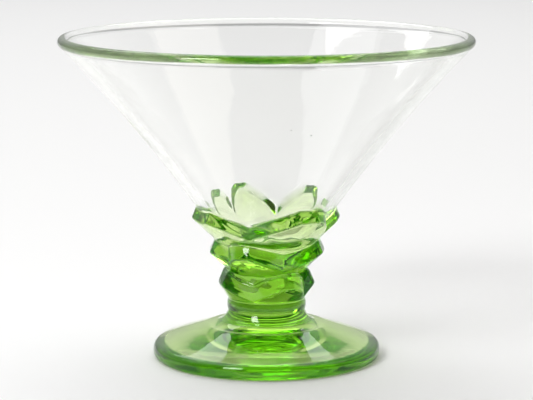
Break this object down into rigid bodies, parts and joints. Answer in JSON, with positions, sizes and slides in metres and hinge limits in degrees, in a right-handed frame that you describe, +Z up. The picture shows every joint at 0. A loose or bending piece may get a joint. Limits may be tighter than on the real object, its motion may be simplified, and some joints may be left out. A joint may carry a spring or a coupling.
{
  "type": "martini glass",
  "caption": "Wide conical martini or dessert glass: clear bowl with a beaded rim on a short green stem of tiered faceted palm leaves and a round disc foot.",
  "frame": {"origin": "on the axis of the glass, at the level of the ring that the foot stands on", "axes": "+Z up along the axis of the glass; -Y is the front, where the deep valley between two upper leaves lies a little to the left"},
  "size_m": [0.13, 0.13, 0.102],
  "materials": {
    "clear_glass": "gloss",
    "green_glass": "gloss"
  },
  "bodies": {
    "root": {"bowl": "clear_glass", "stem": "green_glass", "foot": "green_glass"}
  },
  "joints": []
}
